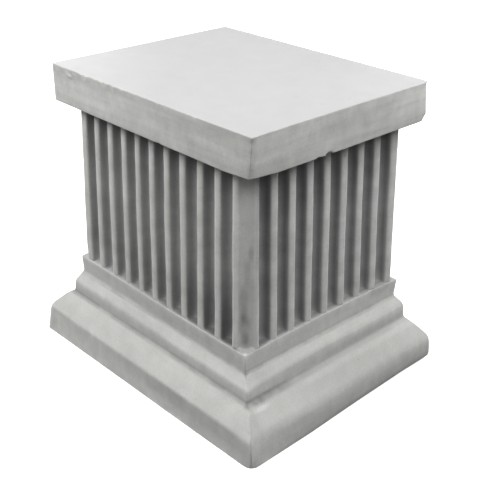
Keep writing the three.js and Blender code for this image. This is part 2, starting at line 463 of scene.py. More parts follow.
# The top: a grid stretched between the points of the highest ring.
grid = field("GeometryNodeMeshGrid", {"Vertices X": LONG_SPANS + 1, "Vertices Y": SHORT_SPANS + 1})
column = whole_part(index / (SHORT_SPANS + 1))
row = index - column * (SHORT_SPANS + 1)
share_x = column / LONG_SPANS
share_y = row / SHORT_SPANS


def rim_point(place_around):
    return split(point_of(wall, place_around * level_count + level_count - 1))


front = rim_point(column)
right = rim_point(row + LONG_SPANS)
back = rim_point((column * -1.0) + (HALF_RING + LONG_SPANS))
left = rim_point((row * -1.0) + RING)
corner_starts = (0, LONG_SPANS, HALF_RING, HALF_RING + LONG_SPANS)
corners = [rim_point(column * 0.0 + start) for start in corner_starts]
cover_axes = []
for axis in range(3):
    between_sides = front[axis].mix(back[axis], share_y)
    between_ends = left[axis].mix(right[axis], share_x)
    near_edge = corners[0][axis].mix(corners[1][axis], share_x)
    far_edge = corners[3][axis].mix(corners[2][axis], share_x)
    cover_axes.append(between_sides + between_ends - near_edge.mix(far_edge, share_y))
cover_point = field("ShaderNodeCombineXYZ", dict(enumerate(cover_axes)))
cover = field("GeometryNodeSetPosition", {"Geometry": grid, "Position": cover_point})

# The underside is one flat face on the lowest ring.
disc = field("GeometryNodeMeshCircle", {"Vertices": RING}, fill_type="NGON")
foot_point = point_of(wall, index * level_count)
foot = field("GeometryNodeSetPosition", {"Geometry": disc, "Position": foot_point})
foot = field("GeometryNodeFlipFaces", {0: foot})

WELD_DISTANCE = 0.01
whole = cast.nodes.new("GeometryNodeJoinGeometry")
for shell in (foot, cover, wall):
    cast.links.new(shell.socket, whole.inputs[0])
weld = {"Geometry": whole.outputs[0], "Distance": WELD_DISTANCE * MM}
welded = field("GeometryNodeMergeByDistance", weld)

# The waves and the finer unevenness, along the surface normal. The underside stays flat, and the top is calm.
FLOOR_FADE = 20.0
TOP_CALM = 0.7
surface_point = field("GeometryNodeInputPosition")
surface_normal = field("GeometryNodeInputNormal")
off_floor = (split(surface_point)[2] / (FLOOR_FADE * MM)).clip(0.0, 1.0)
level_top = (split(surface_normal)[2] * 10.0 - 8.5).clip(0.0, 1.0)


def unevenness(scale, detail, offset):
    inputs = {"Vector": surface_point, "W": size["Seed"] + offset, "Scale": scale, "Detail": detail}
    return field("ShaderNodeTexNoise", inputs, noise_dimensions="4D") - 0.5


waves = unevenness(scale=7.0, detail=1.0, offset=0.0) * size["Wave Height"]
fine = unevenness(scale=55.0, detail=3.0, offset=5.0) * size["Grain Height"]
push = add_node(cast, "ShaderNodeVectorMath", {0: surface_normal}, operation="SCALE")
feed(cast, (waves + fine) * off_floor * (1 - level_top * TOP_CALM), push.inputs["Scale"])
shaped = field("GeometryNodeSetPosition", {"Geometry": welded, "Offset": push.outputs[0]})
single = field("GeometryNodeRealizeInstances", {0: shaped})
coat = {"Geometry": single, "Material": given.outputs["Concrete"]}
finished = field("GeometryNodeSetMaterial", coat)
result = cast.nodes.new("NodeGroupOutput")
cast.links.new(finished.socket, result.inputs[0])

concrete = bpy.data.materials.new("cast_concrete")
pedestal = bpy.data.objects.new("pedestal_cast", profile)
bpy.context.collection.objects.link(pedestal)
casting = pedestal.modifiers.new("casting", "NODES")
casting.node_group = cast
for name, value in SIZES.items():
    casting[size_keys[name]] = value
casting[cast.interface.items_tree["Concrete"].identifier] = concrete
evaluated = pedestal.evaluated_get(bpy.context.evaluated_depsgraph_get())
body = bpy.data.meshes.new_from_object(evaluated)
pedestal.modifiers.clear()
pedestal.data = body
body.name = "pedestal_cast"

# Wear and marks, as moves of the points, in millimetres. Edges are found as points that stand out from the
# mean of their neighbours.
EDGE_FULL = 0.12
EDGE_LEAST = 0.08
count = len(body.vertices)
points = np.empty(count * 3)
body.vertices.foreach_get("co", points)
points = points.reshape(-1, 3) / MM
outward = np.empty(count * 3)
body.vertex_normals.foreach_get("vector", outward)
outward = outward.reshape(-1, 3)
pairs = np.empty(len(body.edges) * 2, dtype=np.int32)
body.edges.foreach_get("vertices", pairs)
pairs = pairs.reshape(-1, 2)
ends = np.concatenate([pairs, pairs[:, ::-1]])
near = [np.bincount(ends[:, 0], points[ends[:, 1], axis], count) for axis in range(3)]
near = np.stack(near, 1) / np.bincount(ends[:, 0], minlength=count)[:, None]
edge = np.clip(-np.einsum("ij,ij->i", near - points, outward) / EDGE_FULL, 0, 1)


def wander(places, pitch, shift):
    """Smooth noise from about -1 to 1, with waves about as long as pitch."""
    away = Vector((shift, -shift, shift * 0.5))
    return np.array([noise.noise(Vector(place) / pitch + away) for place in places])


# Arrises are rubbed down unevenly, in long and in short stretches, the ribs and the slab less than the rest.
LONG_RUB = 0.55
SHORT_RUB = 0.3
SHAFT_WEAR = 0.6
SLAB_WEAR = 0.5
on_edge = np.flatnonzero(edge > EDGE_LEAST)
edge_points = points[on_edge]
edge_on_slab = edge_points[:, 2] > SLAB_UNDERSIDE - 1
edge_on_shaft = (edge_points[:, 2] > LEDGE + 1) & (edge_points[:, 2] < SLAB_UNDERSIDE - 1)
rub = LONG_RUB * np.clip(wander(edge_points, pitch=16.0, shift=3.0) + 0.2, 0, 1)
rub += SHORT_RUB * np.clip(wander(edge_points, pitch=5.0, shift=9.0), 0, 1)
wear = np.where(edge_on_shaft, SHAFT_WEAR, np.where(edge_on_slab, SLAB_WEAR, 1.0))
points[on_edge] -= outward[on_edge] * (edge[on_edge] * rub * wear)[:, None]


def ease_foot(axis, places, radii):
    """Rounds the lower arris of the plinth's + face on this axis, by a radius that changes along it."""
    radius = np.interp(points[:, 1 - axis], places, radii)
    draft = (PLINTH_FOOT[axis] - PLINTH_SHOULDER[axis]) / PLINTH_SHOULDER[2]
    face = PLINTH_FOOT[axis] - draft * points[:, 2]
    inner = radius - (face - points[:, axis])
    upper = radius - points[:, 2]
    reach = np.hypot(inner, upper)
    past = (inner > 0) & (upper > 0) & (reach > radius)
    shrink = radius[past] / reach[past]
    points[past, axis] = face[past] - radius[past] + inner[past] * shrink
    points[past, 2] = radius[past] - upper[past] * shrink


# The lower arris is worn most toward the right-hand corner of the photograph.
ease_foot(axis=0, places=(-172, -70, -20, 120, 172), radii=(1.0, 2.5, 6.0, 15.0, 15.0))
ease_foot(axis=1, places=(90, 215), radii=(4.0, 16.0))


def ease_corner(signs, half_sizes, heights, radii):
    """Rounds the upright corner on these sides, by a radius that changes with the height."""
    radius = np.interp(points[:, 2], heights, radii)
    inner = points[:, :2] * signs - half_sizes + radius[:, None]
    at_height = (points[:, 2] > heights[0]) & (points[:, 2] < heights[-1])
    near_corner = np.flatnonzero((inner.min(1) > 0) & at_height)
    inside = inner[near_corner]
    shrink = inside.max(1) / np.hypot(inside[:, 0], inside[:, 1])
    points[near_corner, :2] += signs * inside * (shrink - 1)[:, None]


# The slab's far right corner is rubbed round toward the top, and the plinth's front corner at its foot.
FAR_RIGHT = np.array([1, 1])
FRONT = np.array([1, -1])
slab_round = (SLAB_UNDERSIDE, 360, 397, 401)
ease_corner(FAR_RIGHT, SLAB_HALF, heights=slab_round, radii=(1.0, 2.0, 8.5, 5.0))
ease_corner(FRONT, PLINTH_FOOT[:2], heights=(-1, 4, 16, 30), radii=(13.0, 10.0, 5.0, 2.5))

# The plinth's two shown faces spread a little toward the foot, but for the far end of the +X face. Each is
# given as the places along the face and the spread there.
SPREAD_CURVE = 1.3
FRONT_SPREAD = ((-215, 60, 215), (4.2, 2.4, 0.6))
RIGHT_SPREAD = ((-172, 20), (2.2, 0.0))
spread = np.clip(1 - points[:, 2] / PLINTH_SHOULDER[2], 0, 1) ** SPREAD_CURVE
on_front = np.clip((-points[:, 1] - 150) / 20, 0, 1)
on_right = np.clip((points[:, 0] - 195) / 15, 0, 1)
points[:, 1] -= spread * on_front * np.interp(points[:, 0], *FRONT_SPREAD)
points[:, 0] += spread * on_right * np.interp(points[:, 1], *RIGHT_SPREAD)

FACE_FADE = 12.0


def raise_line(axis, side, start, places, rises, heights):
    """Raises a level line of one face, by an amount that changes along it and fades out above and below."""
    on_face = np.clip((points[:, axis] * side - start) / FACE_FADE, 0, 1)
    line_rise = np.interp(points[:, 1 - axis], places, rises)
    points[:, 2] += on_face * line_rise * np.interp(points[:, 2], heights, (0, 1, 1, 0))


# Some lines of the two shown faces aren't quite level: the ledge, the step's shoulder and the band's foot.
on_right_face = {"axis": 0, "side": 1}
on_front_face = {"axis": 1, "side": -1}
ledge_heights = (LEDGE - 18, LEDGE - 3, LEDGE + 6, LEDGE + 45)
step_heights = (STEP_FOOT[2], STEP_SHOULDER[2] - 3, STEP_SHOULDER[2] + 3, BAND_FOOT[2])
band_heights = (STEP_SHOULDER[2], BAND_FOOT[2] - 3, BAND_FOOT[2] + 3, LEDGE - 3)
raise_line(
    **on_right_face, start=148.0, heights=ledge_heights,
    places=(-140, -110, -40, 70, 115, 142), rises=(0.0, 1.2, 2.2, 1.8, 0.4, -1.4),
)
raise_line(
    **on_front_face, start=118.0, heights=ledge_heights,
    places=(-170, -60, 60), rises=(1.5, 1.2, 0.0),
)
raise_line(
    **on_right_face, start=158.0, heights=step_heights,
    places=(-147, -110, -20, 147), rises=(0.0, 1.2, 3.2, 2.4),
)
raise_line(
    **on_front_face, start=125.0, heights=step_heights,
    places=(-40, 40, 147), rises=(0.0, -1.6, -2.0),
)
raise_line(
    **on_front_face, start=118.0, heights=band_heights,
    places=(-170, -40, 30), rises=(2.0, 2.4, 0.0),
)

# The middle ribs of the front stand a little to the right at their feet.
FOOT_SHIFT = ((-130, -90, 10, 80), (0, 1.8, 1.4, 0))
at_foot = np.interp(points[:, 2], (LEDGE - 3, LEDGE + 1, 240), (0, 1, 0))
at_foot *= np.clip((-points[:, 1] - 115) / 6, 0, 1)
points[:, 0] += at_foot * np.interp(points[:, 0], *FOOT_SHIFT)

# The rim of the ledge is bumpy.
RIM_BUMP = 0.7
on_rim = np.flatnonzero((points[:, 2] > LEDGE - 3) & (points[:, 2] < LEDGE + 4))
points[on_rim, 2] += RIM_BUMP * wander(points[on_rim], pitch=17.0, shift=41.0)


def push_corner(corner, reach, heights, moves):
    """Moves an upright corner and what lies within reach of it, by a move that changes with the height."""
    away = np.hypot(points[:, 0] - corner[0], points[:, 1] - corner[1])
    share = np.clip(1 - away / reach, 0, 1)
    by_height = np.stack([np.interp(points[:, 2], heights, steps) for steps in zip(*moves)], 1)
    points[:] = points + share[:, None] * by_height


# The front corner of the slab leans: its seam runs a little to the left on the way down, to a blunt tip.
CORNER_LEAN = (-0.6, 1.1)
TIP_RISE = (0, 0, 3.0)
STILL = (0, 0, 0)
slab_front = (SLAB_HALF[0], -SLAB_HALF[1])
slab_heights = (SLAB_UNDERSIDE - 0.6, SLAB_UNDERSIDE - 0.5, TOTAL_HEIGHT)
slab_moves = (STILL, *((lean, lean, 0) for lean in CORNER_LEAN))
push_corner(slab_front, reach=70.0, heights=slab_heights, moves=slab_moves)
tip_heights = (SLAB_UNDERSIDE - 1.5, SLAB_UNDERSIDE - 0.8, SLAB_UNDERSIDE + 1, SLAB_UNDERSIDE + 14)
push_corner(slab_front, reach=42.0, heights=tip_heights, moves=(STILL, TIP_RISE, TIP_RISE, STILL))

# At the left end the plinth and the slab reach out a little and the ledge is drawn in. The front corner of
# the plinth's shoulder is worn down.
SLAB_LEFT_EXTRA = 2.6
push_corner((-213, -171), reach=170.0, heights=(44, 66), moves=((-1.5, -0.7, 0), STILL))
left_ledge = (BAND_FOOT[2], LEDGE - 1, LEDGE + 30)
push_corner((-170, -140), reach=90.0, heights=left_ledge, moves=(STILL, (1.2, 0.8, 0), STILL))
worn_moves = (STILL, (0, 0, -4.5), (0, 0, -2.5), STILL)
push_corner((213, -171), reach=32.0, heights=(18, 33, 45, 58), moves=worn_moves)
slab_left = np.clip((-points[:, 0] - 80) / 105, 0, 1) ** 2 * (points[:, 2] > SLAB_UNDERSIDE - 0.5)
points[:, 0] -= SLAB_LEFT_EXTRA * slab_left

# One lower corner of the slab is broken off, along a rough slanting face.
BROKEN_CORNER = 9.0
BREAK_ROUGH = 0.5
kept_side = np.array([-1.0, -1.0, 1.0]) / math.sqrt(3)
break_point = np.array([*SLAB_HALF, SLAB_UNDERSIDE + BROKEN_CORNER])
gap = (points - break_point) @ kept_side
lost = np.flatnonzero((gap < 0) & (points[:, 2] > SLAB_UNDERSIDE - 2))
rough_break = BREAK_ROUGH * wander(points[lost], pitch=4.0, shift=21.0)
points[lost] += kept_side * (rough_break - gap[lost])[:, None]


def chip(place, facing, radius, deep):
    """A shell-shaped chip in an edge: a ball's worth of concrete is missing, down to this depth."""
    inward_way = -np.array(facing, dtype=float) / np.linalg.norm(facing)
    centre = np.array(place, dtype=float) - inward_way * (radius - deep)
    offset = points - centre
    hit = np.flatnonzero(np.einsum("ij,ij->i", offset, offset) < radius * radius)
    way = offset[hit] @ inward_way
    depth_left = way**2 - np.einsum("ij,ij->i", offset[hit], offset[hit]) + radius * radius
    points[hit] += inward_way * (np.sqrt(depth_left) - way)[:, None]


# Chips in the slab's shown edges. Those along the front of the rim are (place, radius, depth).
chip((SLAB_HALF[0], -27, SLAB_UNDERSIDE), (1, 0, -1), radius=10, deep=2.8)
chip((SLAB_HALF[0], -44, SLAB_UNDERSIDE), (1, 0, -1), radius=14, deep=1.2)
chip((SLAB_HALF[0], 66, TOTAL_HEIGHT), (1, 0, 1), radius=8, deep=0.9)
RIM_CHIPS = (
    (-163, 4, 0.7), (-121, 4, 1.3), (-112, 5, 1.5), (-92, 4, 1.2), (-80, 5, 1.6), (-69, 4, 1.1),
    (-55, 4, 1.3), (-38, 6, 1.2), (-12, 4, 1.0), (31, 5, 0.9), (96, 5, 1.0),
)
for run_x, chip_radius, chip_deep in RIM_CHIPS:
    chip((run_x, -SLAB_HALF[1], TOTAL_HEIGHT), (0, -1, 1), chip_radius, chip_deep)
chip((30, -SLAB_HALF[1], SLAB_UNDERSIDE), (0, -1, -1), radius=9, deep=1.0)

# The hidden sides have a few at random, on the slab's lower edges and at the foot.
HIDDEN_CHIPS = 5
SLAB_CHIP_RADIUS = (7, 13)
SLAB_CHIP_DEPTH = (0.8, 1.8)
FOOT_CHIP_RADIUS = (9, 16)
FOOT_CHIP_DEPTH = (1.5, 3.0)
draw = np.random.default_rng(11)
for _ in range(HIDDEN_CHIPS):
    run_x = draw.uniform(-170, 170)
    run_y = draw.uniform(-130, 130)
    back_edge = (run_x, SLAB_HALF[1], SLAB_UNDERSIDE)
    left_edge = (-SLAB_HALF[0], run_y, SLAB_UNDERSIDE)
    for chip_place, chip_facing in ((back_edge, (0, 1, -0.6)), (left_edge, (-1, 0, -0.6))):
        chip(chip_place, chip_facing, draw.uniform(*SLAB_CHIP_RADIUS), draw.uniform(*SLAB_CHIP_DEPTH))
    for chip_place, chip_facing in (((run_x, 172, 1), (0, 1, -1)), ((-215, run_y, 1), (-1, 0, -1))):
        chip(chip_place, chip_facing, draw.uniform(*FOOT_CHIP_RADIUS), draw.uniform(*FOOT_CHIP_DEPTH))

# A slanting burr just under the rim, near the left end of the front.
BURR_X = -148.5
BURR_Z = 391.4
BURR_SLANT = 0.28
BURR_HALF_LENGTH = 7.5
BURR_HALF_WIDTH = 2.0
BURR_HEIGHT = 1.3
from_burr = points[:, 0] - BURR_X
along_burr = from_burr / BURR_HALF_LENGTH
across_burr = (points[:, 2] - BURR_Z + BURR_SLANT * from_burr) / BURR_HALF_WIDTH
burr = np.clip(1 - along_burr**2 - across_burr**2, 0, 1) * (points[:, 1] < -140)
points[:, 1] -= BURR_HEIGHT * burr

# The mould's plates met at two opposite corners: a thin open seam with pits runs down the slab, and below it
# dirt sits on the step's mitre and in the inner corners of the base. Pits are (height, reach, depth).
SEAM_REACH = 1.5
SEAM_INSET = 0.4
SEAM_DEPTH = 0.14
SEAM_RAGGED = 0.3
SEAM_TOP = TOTAL_HEIGHT - 1.5
SEAM_GRIME = 0.45
MITRE_REACH = 1.3
MITRE_GRIME = 0.6
MITRE_START = 0.3
PIT_REACH = np.array([4.0, 4.0, 3.0])
PIT_GRIME = 0.5
SLAB_PITS = (
    (394.0, 1.6, 1.4), (382.0, 4.0, 0.4), (369.5, 2.2, 0.8), (363.0, 2.5, 0.6), (357.5, 2.0, 0.5),
)
grime = np.zeros(count)
for side in (1, -1):
    seam_lean = np.interp(points[:, 2], (SLAB_UNDERSIDE, TOTAL_HEIGHT), CORNER_LEAN) * (side == 1)
    seam_x = side * (SLAB_HALF[0] - SEAM_INSET) + seam_lean
    seam_y = -side * (SLAB_HALF[1] - SEAM_INSET) + seam_lean
    from_seam = np.hypot(points[:, 0] - seam_x, points[:, 1] - seam_y)
    at_seam = np.flatnonzero((from_seam < SEAM_REACH) & (points[:, 2] > SLAB_UNDERSIDE))
    seam_heights = points[at_seam, 2]
    ragged_seam = SEAM_RAGGED * wander(points[at_seam], pitch=7.0, shift=31.0)
    cut = np.clip(SEAM_DEPTH + ragged_seam, 0, 1)
    for pit_height, pit_reach, pit_deep in SLAB_PITS:
        cut += pit_deep * np.clip(1 - np.abs(seam_heights - pit_height) / pit_reach, 0, 1)
    cut *= np.clip(1 - (from_seam[at_seam] / SEAM_REACH) ** 2, 0, 1)
    cut *= seam_heights < SEAM_TOP
    points[at_seam] -= outward[at_seam] * cut[:, None]
    grime[at_seam] += SEAM_GRIME * cut
    up_mitre = (points[:, 2] - STEP_SHOULDER[2]) / (BAND_FOOT[2] - STEP_SHOULDER[2])
    up_mitre = np.clip(up_mitre, 0, 1)
    mitre = STEP_SHOULDER + (BAND_FOOT - STEP_SHOULDER) * up_mitre[:, None]
    from_mitre = np.hypot(side * points[:, 0] - mitre[:, 0], -side * points[:, 1] - mitre[:, 1])
    on_mitre = (up_mitre > MITRE_START) & (up_mitre < 1)
    grime += np.clip(MITRE_REACH - from_mitre, 0, MITRE_GRIME) * on_mitre
    for inner_corner in (STEP_FOOT, BAND_FOOT):
        pit = inner_corner * np.array([side, -side, 1])
        from_pit = np.linalg.norm((points - pit) / PIT_REACH, axis=1)
        grime += PIT_GRIME * np.clip(1 - from_pit, 0, 1)

SHARP_ANGLE = 50
body.vertices.foreach_set("co", (points * MM).ravel())
body.attributes.new("edge", "FLOAT", "POINT").data.foreach_set("value", edge)
body.attributes.new("grime", "FLOAT", "POINT").data.foreach_set("value", np.clip(grime, 0, 1))
body.shade_smooth()
body.set_sharp_from_angle(angle=math.radians(SHARP_ANGLE))
body.update()

# The concrete: cement grey with soft clouds, fine grain and pores, dirt where rain leaves it, paler rubbed
# edges, and painted light and shade. Places on it are in millimetres.
concrete.use_nodes = True
skin = concrete.node_tree
shader = skin.nodes["Principled BSDF"]
spot = add_node(skin, "ShaderNodeTexCoord").outputs["Object"]


def parts_of(vector):
    made = add_node(skin, "ShaderNodeSeparateXYZ", {0: vector})
    return [Field(skin, socket) for socket in made.outputs]


spot_x, spot_y, spot_z = [axis_place / MM for axis_place in parts_of(spot)]
spot_left = spot_x * -1.0
spot_front = spot_y * -1.0
off_middle_x = spot_x.calc("ABSOLUTE")
off_middle_y = spot_y.calc("ABSOLUTE")
facing_x, facing_y, facing_up = parts_of(add_node(skin, "ShaderNodeNewGeometry").outputs["Normal"])
facing_right = facing_x.calc("MAXIMUM", 0.0)
facing_front = (facing_y * -1.0).calc("MAXIMUM", 0.0)


def clouds(scale, detail, stretch=(1, 1, 1), shift=0.0):
    """Noise from 0 to 1 with a mean of one half, waves 1/scale metres long."""
    mapping = {"Vector": spot, "Scale": stretch, "Location": (shift, shift, -shift)}
    moved = add_node(skin, "ShaderNodeMapping", mapping)
    inputs = {"Vector": moved.outputs[0], "Scale": scale, "Detail": detail}
    return Field(skin, add_node(skin, "ShaderNodeTexNoise", inputs).outputs[0])


def swing(cloud, by):
    """A cloud as a change that goes up as much as down."""
    return (cloud - 0.5) * by


def ramp(value, low, high):
    """0 below low, 1 above high, a soft step between."""
    inputs = {"Value": value, "From Min": low, "From Max": high}
    made = add_node(skin, "ShaderNodeMapRange", inputs, interpolation_type="SMOOTHSTEP")
    return Field(skin, made.outputs[0])


def band(start, rise_end, fall_start, end):
    """A level stretch of the object, given by heights, with soft edges."""
    return ramp(spot_z, start, rise_end) * (1 - ramp(spot_z, fall_start, end))


def vector_math(operation, *vectors):
    return add_node(skin, "ShaderNodeVectorMath", dict(enumerate(vectors)), operation=operation)


def blot(centre, reach):
    """A soft round spot at this place."""
    offset = vector_math("SUBTRACT", spot, Vector(centre) * MM)
    share = vector_math("DIVIDE", offset.outputs[0], Vector(reach) * MM)
    far = vector_math("LENGTH", share.outputs[0])
    return 1 - ramp(Field(skin, far.outputs["Value"]), 0.25, 1.0)


def painted(name):
    made = add_node(skin, "ShaderNodeAttribute", attribute_name=name)
    return Field(skin, made.outputs["Fac"])


def darkened(shade, mask, by):
    """The shade with this share taken off where the mask is 1."""
    return shade * (1 - mask * by)


def lightened(shade, mask, by):
    return shade * (1 + mask * by)


# Where a spot lies: on which part of the pedestal, and on which of the two shown sides of slab and base.
flute_depth = painted("recess")
in_flute = ramp(flute_depth, 0.02, 0.3)
upright = 1 - ramp(facing_up.calc("ABSOLUTE"), 0.25, 0.6)
facing_sky = ramp(facing_up, 0.9, 0.97)
on_top = facing_sky * ramp(spot_z, TOTAL_HEIGHT - 10, TOTAL_HEIGHT - 5)
on_slab = ramp(spot_z, SLAB_UNDERSIDE - 1.1, SLAB_UNDERSIDE + 0.4)
on_shaft = band(LEDGE + 0.5, LEDGE + 4, SLAB_UNDERSIDE - 0.5, SLAB_UNDERSIDE + 0.5)
on_post = ramp(off_middle_x, 149, 153) * ramp(off_middle_y, 119, 123)
toward_x = ramp(spot_x, 178, 184)
toward_front = ramp(spot_front, 138, 144)

# Clouds and grain, calm on the smooth top and stronger on the upright faces.
grain = clouds(420.0, 3.0)
patches = clouds(7.0, 3.0)
spots = clouds(38.0, 4.0, shift=3.0)
smears = clouds(5.0, 4.0, stretch=(1, 1, 9), shift=7.0)
streaks = clouds(40.0, 3.0, stretch=(1, 1, 0.07), shift=1.0)
mottle = clouds(75.0, 3.0, stretch=(1, 1, 0.6), shift=13.0)
brushed = clouds(9.0, 5.0, stretch=(1, 1, 12), shift=17.0)
all_over = swing(patches, by=0.2) + swing(spots, by=0.26) + swing(grain, by=0.24)
on_faces = swing(smears, by=0.4) + swing(mottle, by=0.3) + swing(brushed, by=0.46) * on_slab
tone = 1 + (all_over + on_faces * upright) * (1 - on_top * 0.65)

# Painted light: the slopes are lighter than the upright faces, most on the step and toward the far end of the
# +X side. The top is a little darker, and the near half of the slope toward +X is duller.
on_slope = ramp(facing_up, 0.12, 0.4) * (1 - facing_sky)
on_step = ramp(spot_z, 75, 85)
dull = toward_x * (1 - ramp(spot_y, 20, 140))
pale_far_end = toward_x * ramp(spot_y, 60, 160)
slope_change = on_step * 0.1 - dull * 0.02 + pale_far_end * 0.1
tone = tone * (1 + on_slope * slope_change - on_top * 0.08)
# More painted light on the front's slope toward the -X end, a paler strip on the +X slope, and the front's
# slope darker toward +X.
left_slope = ramp(spot_left, 80, 200) * toward_front
tone = lightened(tone, on_slope * left_slope, by=0.05)
pale_slope_strip = band(55, 59.5, 62, 65) * toward_x * ramp(spot_y, -90, -40)
tone = lightened(tone, on_slope * pale_slope_strip, by=0.09)
near_slope = ramp(spot_front, 145, 150) * ramp(spot_x, 30, 170) * (1 - on_step)
tone = darkened(tone, on_slope * near_slope, by=0.08)

# Painted light: the top is palest toward the corner between -X and -Y, and a little paler toward the one
# between +X and +Y.
to_left_end = (spot_x / SLAB_HALF[0] + spot_y / SLAB_HALF[1]) * -0.5
tone = lightened(tone, on_top * ramp(to_left_end, 0.35, 1.0), by=0.12)
tone = lightened(tone, on_top * ramp(to_left_end * -1.0, 0.5, 1.0), by=0.04)

# The shaft darkens toward the front corner, most at the foot, and painted shade darkens it toward the slab.
weather_side = ramp(spot_x, 148, 153)
front_side = ramp(spot_front, 110, 118) * (1 - weather_side)
hidden_side = (ramp(spot_y, 118, 124) + ramp(spot_left, 148, 154)).clip(0.0, 1.0)
near_foot = 1 - ramp(spot_z, 130, 220)
in_shade = ramp(spot_z, 245, 325)
slab_shade = ramp(spot_z, 300, 350)
front_run = front_side * ramp(spot_x, -30, 160)
right_run = weather_side * (1 - ramp(spot_y, -130, 100))
dark_run = front_run * (0.08 + near_foot * 0.32) + right_run * (0.16 + near_foot * 0.1)
dark_foot = front_side * ramp(spot_x, -120, -60) * near_foot * 0.13
tone = darkened(tone, in_flute, by=dark_run + dark_foot)
tone = darkened(tone, on_shaft * front_run * near_foot, by=0.1)
# Painted shade on the rounded rib edges of the +X face that turn toward the front.
turned_away = facing_front * ramp(flute_depth, 0.0, 0.1) * weather_side
tone = darkened(tone, turned_away, by=0.1)
tone = darkened(tone, in_shade * in_flute, by=0.2 + weather_side * 0.22)
tone = darkened(tone, in_shade * on_shaft * weather_side, by=0.1)
# Painted shadow of the slab on the upper ribs of the +X face.
on_rib = on_shaft * (1 - in_flute) * (1 - on_post * 0.5)
tone = darkened(tone, ramp(spot_z, 302, 336) * on_rib * weather_side, by=0.24)

# Dirt in streaks and painted shade in the flutes, more on the +X face and the hidden faces, more painted
# shade on the walls that face the front corner, and thick painted shade up under the slab but for the +X
# face, where painted light lifts it.
flute_dirt_and_shade = ramp(flute_depth, 0.05, 0.75) * (0.55 + streaks * 0.5)
dirt_and_shade_share = 0.28 + weather_side * 0.2 + hidden_side * (1 - weather_side) * 0.2
tone = darkened(tone, flute_dirt_and_shade, by=dirt_and_shade_share)
shaded_walls = facing_right.mix(facing_front, ramp(off_middle_x, 148, 153)) * in_flute
tone = darkened(tone, shaded_walls, by=0.2 + weather_side * 0.14)
tone = darkened(tone, slab_shade * in_flute, by=0.38 - weather_side * 0.7)
tone = darkened(tone, slab_shade * on_shaft, by=0.04)

# Dirt and painted shade in the two inner corners of the base, creeping up the step's upright face and down
# onto the slope, painted shade over the rest of that face, and a little dirt on the front of the band. Each
# corner is (height, reach above, reach below, least share).
INNER_CORNERS = ((STEP_FOOT[2], 4.5, 5.5, 0.14), (BAND_FOOT[2], 5.0, 4.0, 0.07))
ragged_dirt = ramp(spots, 0.35, 0.65)
lighter_corner_run = 1 - toward_x * ramp(spot_y, -100, -20) * 0.45
for line, above, below, least in INNER_CORNERS:
    close = band(line - below, line - 2.0, line + 1.0, line + above) * lighter_corner_run
    tone = darkened(tone, close, by=least + ragged_dirt * 0.18)
tone = darkened(tone, band(65, 67, 71, 83), by=0.16)
front_band = band(100, 104, 118, 123) * front_side * ramp(spot_x, -100, 0)
tone = darkened(tone, front_band, by=0.05)
crease_stain = band(59.5, 65, 68, 72) * toward_x * (1 - ramp(spot_y, -150, -60))
tone = darkened(tone, crease_stain, by=0.2 + ragged_dirt * 0.2)

# The plinth: a dark band under the shoulder on the front, darker toward the foot on the +X side.
on_plinth = 1 - ramp(spot_z, 36, 42)
dark_low_run = 1 - ramp((spot_y - 35).calc("ABSOLUTE"), 30, 240)
dark_low_x = on_plinth * toward_x * (1 - ramp(spot_z, 4, 40)) * dark_low_run
tone = darkened(tone, dark_low_x, by=0.26)
front_of_plinth = ramp(spot_front, 165, 168) * (1 - ramp(facing_up, 0.3, 0.6))
dark_band = band(8, 22, 33, 40) * front_of_plinth * ramp(spot_x, -200, 100)
tone = darkened(tone, dark_band, by=0.14)
pale_foot = (1 - ramp(spot_z, 4, 16)) * front_of_plinth * ramp(spot_x, 0, 100)
tone = lightened(tone, pale_foot, by=0.06)

# The ledge is darker, with dirt and painted shade, but for its outer corners, and less so toward the -X end
# and along the +X side away from the front corner.
on_ledge = band(LEDGE - 1, LEDGE - 0.2, LEDGE + 2, LEDGE + 8) * ramp(facing_up, 0.3, 0.8)
outer_corner = ramp(off_middle_x, 163, 169) * ramp(off_middle_y, 133, 138)
lighter_ledge_right = weather_side * ramp(spot_y, -125, -90)
lighter_ledge_left = 1 - ramp(spot_x, -120, 50)
lighter_ledge = ((lighter_ledge_right + lighter_ledge_left) * 0.5).clip(0.0, 0.7)
tone = darkened(tone, on_ledge * (1 - lighter_ledge), by=0.46 - outer_corner * 0.3)

# The slab: duller toward the front corner, darker along its lower edge, and a dark line under the rim.
front_end = on_slab * toward_front * upright * ramp(spot_x, -100, 120)
tone = darkened(tone, front_end, by=0.06)
lower_edge_share = toward_x * 0.13 + toward_front * (1 - ramp(spot_x, -100, 50)) * 0.06
tone = darkened(tone, band(348, 350.6, 355, 377), by=lower_edge_share)
rim_line = band(388, 394, 397.5, 399) * ramp(mottle, 0.35, 0.6) * toward_front
tone = darkened(tone, rim_line, by=0.1 + (1 - ramp(spot_x, -60, 20)) * 0.1)

# Weather stains run down the cut corners. Those of the front one have set places, as (place, reach, share).
stains = ramp(clouds(26.0, 4.0, stretch=(1, 1, 0.3), shift=5.0), 0.42, 0.62)
# Painted shade at the heads of the posts under the slab, and more stain toward their feet.
post_shade_and_stain = ramp(spot_z, 250, 340) * 0.05 + (1 - ramp(spot_z, 130, 190)) * 0.08
tone = darkened(tone, on_post * on_shaft, by=stains * 0.08 + post_shade_and_stain)
FRONT_STAINS = (
    ((163.0, -125.5, 250.0), (5, 5, 15), 0.24),
    ((160.0, -128.0, 225.0), (6, 6, 26), 0.2),
    ((157.5, -131.0, 188.0), (8, 8, 28), 0.32),
    ((157.5, -131.0, 168.0), (7, 7, 9), 0.22),
    ((158.0, -130.0, 158.0), (11, 11, 30), 0.38),
    ((159.0, -129.5, 138.0), (8, 8, 16), 0.46),
)
ragged = 0.55 + ramp(mottle, 0.3, 0.7) * 0.6
for stain_place, stain_reach, strength in FRONT_STAINS:
    tone = darkened(tone, blot(stain_place, stain_reach) * ragged, by=strength)

